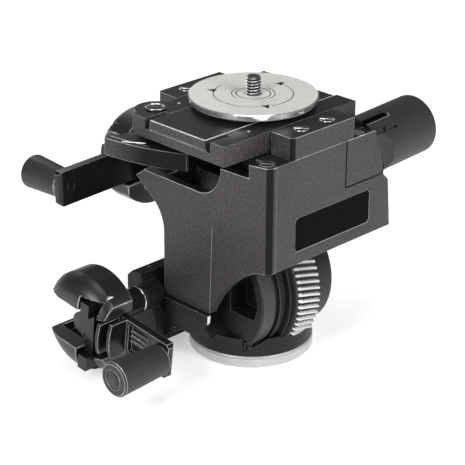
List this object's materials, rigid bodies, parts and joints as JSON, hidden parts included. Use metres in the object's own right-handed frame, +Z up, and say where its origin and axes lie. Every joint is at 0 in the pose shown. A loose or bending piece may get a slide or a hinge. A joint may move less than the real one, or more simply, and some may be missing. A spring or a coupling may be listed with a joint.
{
  "type": "geared tripod head",
  "caption": "Three-way geared tripod head with a pan base, a toothed lateral tilt drum, a front tilt platform with a sliding round camera plate, and worm cranks with domed release shells.",
  "frame": {"origin": "centre of the tripod hole's mouth, in the base's bottom face, on the pan axis", "axes": "+Z up along the pan axis, +X along the tilt drum's axis towards the grip tube, -Y towards the label recess"},
  "size_m": [0.2387, 0.194, 0.1805],
  "materials": {
    "dark_paint": "fine satin dark grey paint",
    "bare_aluminium": "satin turned",
    "steel": "bright",
    "black_plastic": "matte",
    "gloss_black": "semi-gloss black"
  },
  "bodies": {
    "base": {"base_plate": "bare_aluminium", "pan_gear": "steel", "spindle_cap": "steel"},
    "turret": {"turret_housing": "dark_paint", "pan_bracket": "dark_paint", "bracket_screw": "steel", "tilt_drum": "bare_aluminium", "drum_gear": "steel", "tilt_axle": "steel", "train_cover": "dark_paint", "idler_pin": "steel", "pan_worm_bush": "steel", "pan_bush": "steel"},
    "tilt_body": {"front_cheek": "dark_paint", "rear_cheek": "dark_paint", "label_side_housing": "dark_paint", "far_side_housing": "dark_paint", "rear_plate": "dark_paint", "side_worm_housing": "dark_paint", "bearing_cap_label_side": "dark_paint", "bearing_cap_far_side": "dark_paint", "cap_screws": "steel", "corner_screw": "steel", "worm_cover": "dark_paint", "cover_screw": "steel", "label_plate": "black_plastic", "grip_tube": "black_plastic", "side_bush": "steel"},
    "platform": {"tilt_frame": "dark_paint", "trunnion_pins": "steel", "front_tilt_gear": "steel"},
    "slide": {"slide_plate": "dark_paint", "camera_disc": "bare_aluminium"},
    "camera_screw": {"camera_screw": "steel"},
    "pan_worm_shaft": {"pan_worm": "steel"},
    "pan_idler_wheel": {"pan_idler": "steel"},
    "release_lever": {"release_lever": "dark_paint", "lever_screw": "steel"},
    "front_crank": {"front_worm": "steel", "end_knob": "black_plastic"},
    "pan_crank": {"pan_crank_shaft": "steel", "pan_crank_hub": "gloss_black", "pan_hinge_pins": "steel", "pan_crank_arm": "gloss_black", "pan_grip_pin": "steel"},
    "pan_grip": {"pan_grip": "gloss_black"},
    "pan_wing_upper": {"pan_release_upper": "black_plastic"},
    "pan_wing_lower": {"pan_release_lower": "black_plastic"},
    "side_crank": {"side_worm": "steel", "side_crank_hub": "gloss_black", "side_hinge_pins": "steel", "side_crank_arm": "gloss_black", "side_grip_pin": "steel"},
    "side_grip": {"side_grip": "gloss_black"},
    "side_wing_upper": {"side_release_upper": "black_plastic"},
    "side_wing_lower": {"side_release_lower": "black_plastic"}
  },
  "joints": [
    {"name": "pan_turn", "type": "hinge", "parent": "base", "child": "turret", "pos_m": [0, 0, 0], "axis": [0, 0, 1], "continuous": true},
    {"name": "lateral_tilt", "type": "hinge", "parent": "turret", "child": "tilt_body", "pos_m": [0, 0, 0.046], "axis": [1, 0, 0], "range_deg": [-30, 90]},
    {"name": "front_tilt", "type": "hinge", "parent": "tilt_body", "child": "platform", "pos_m": [0.0015, 0, 0.146], "axis": [0, 1, 0], "range_deg": [-14, 80]},
    {"name": "plate_slide", "type": "slide", "parent": "platform", "child": "slide", "axis": [1, 0, 0], "range_m": [-0.02, 0.012]},
    {"name": "camera_screw_spin", "type": "hinge", "parent": "slide", "child": "camera_screw", "pos_m": [0, 0, 0.17], "axis": [0, 0, 1], "continuous": true},
    {"name": "release_lever_swing", "type": "hinge", "parent": "platform", "child": "release_lever", "pos_m": [-0.0478, 0.0363, 0.15], "axis": [0, 0, 1], "range_deg": [-60, 0]},
    {"name": "front_crank_turn", "type": "hinge", "parent": "tilt_body", "child": "front_crank", "pos_m": [0.0015, -0.044, 0.1305], "axis": [0.999, 0, 0.0454], "continuous": true},
    {"name": "pan_worm_turn", "type": "hinge", "parent": "turret", "child": "pan_worm_shaft", "pos_m": [-0.051, 0.0417, 0.0152], "axis": [-1, 0, 0], "continuous": true},
    {"name": "pan_idler_turn", "type": "hinge", "parent": "turret", "child": "pan_idler_wheel", "pos_m": [-0.051, 0.04095, 0.0256], "axis": [-1, 0, 0], "continuous": true},
    {"name": "pan_crank_turn", "type": "hinge", "parent": "turret", "child": "pan_crank", "pos_m": [-0.059, 0.0402, 0.036], "axis": [-1, 0, 0], "continuous": true},
    {"name": "pan_grip_spin", "type": "hinge", "parent": "pan_crank", "child": "pan_grip", "pos_m": [-0.097, -0.01941, 0.02921], "axis": [-1, 0, 0], "continuous": true},
    {"name": "pan_release_upper_squeeze", "type": "hinge", "parent": "pan_crank", "child": "pan_wing_upper", "pos_m": [-0.085, 0.03879, 0.04842], "axis": [0, -0.9936, -0.1132], "range_deg": [0, 4.5], "stiffness_Nm_per_rad": 0.6, "springref_deg": -5.73},
    {"name": "pan_release_lower_squeeze", "type": "hinge", "parent": "pan_crank", "child": "pan_wing_lower", "pos_m": [-0.085, 0.04161, 0.02358], "axis": [0, 0.9936, 0.1132], "range_deg": [0, 4.5], "stiffness_Nm_per_rad": 0.6, "springref_deg": -5.73},
    {"name": "side_crank_turn", "type": "hinge", "parent": "tilt_body", "child": "side_crank", "pos_m": [0, 0.06, 0.1017], "axis": [0, 1, 0], "continuous": true},
    {"name": "side_grip_spin", "type": "hinge", "parent": "side_crank", "child": "side_grip", "pos_m": [-0.06998, 0.098, 0.09987], "axis": [0, 1, 0], "continuous": true},
    {"name": "side_release_upper_squeeze", "type": "hinge", "parent": "side_crank", "child": "side_wing_upper", "pos_m": [-0.00033, 0.086, 0.1142], "axis": [-0.9997, 0, -0.0262], "range_deg": [0, 4.5], "stiffness_Nm_per_rad": 0.6, "springref_deg": -5.73},
    {"name": "side_release_lower_squeeze", "type": "hinge", "parent": "side_crank", "child": "side_wing_lower", "pos_m": [0.00033, 0.086, 0.0892], "axis": [0.9997, 0, 0.0262], "range_deg": [0, 4.5], "stiffness_Nm_per_rad": 0.6, "springref_deg": -5.73}
  ],
  "couplings": [
    {"joint": "pan_crank_turn", "follows": "pan_turn", "ratio": 60},
    {"joint": "pan_worm_turn", "follows": "pan_turn", "ratio": 60},
    {"joint": "pan_idler_turn", "follows": "pan_turn", "ratio": -60},
    {"joint": "side_crank_turn", "follows": "lateral_tilt", "ratio": -72},
    {"joint": "front_crank_turn", "follows": "front_tilt", "ratio": 36}
  ]
}
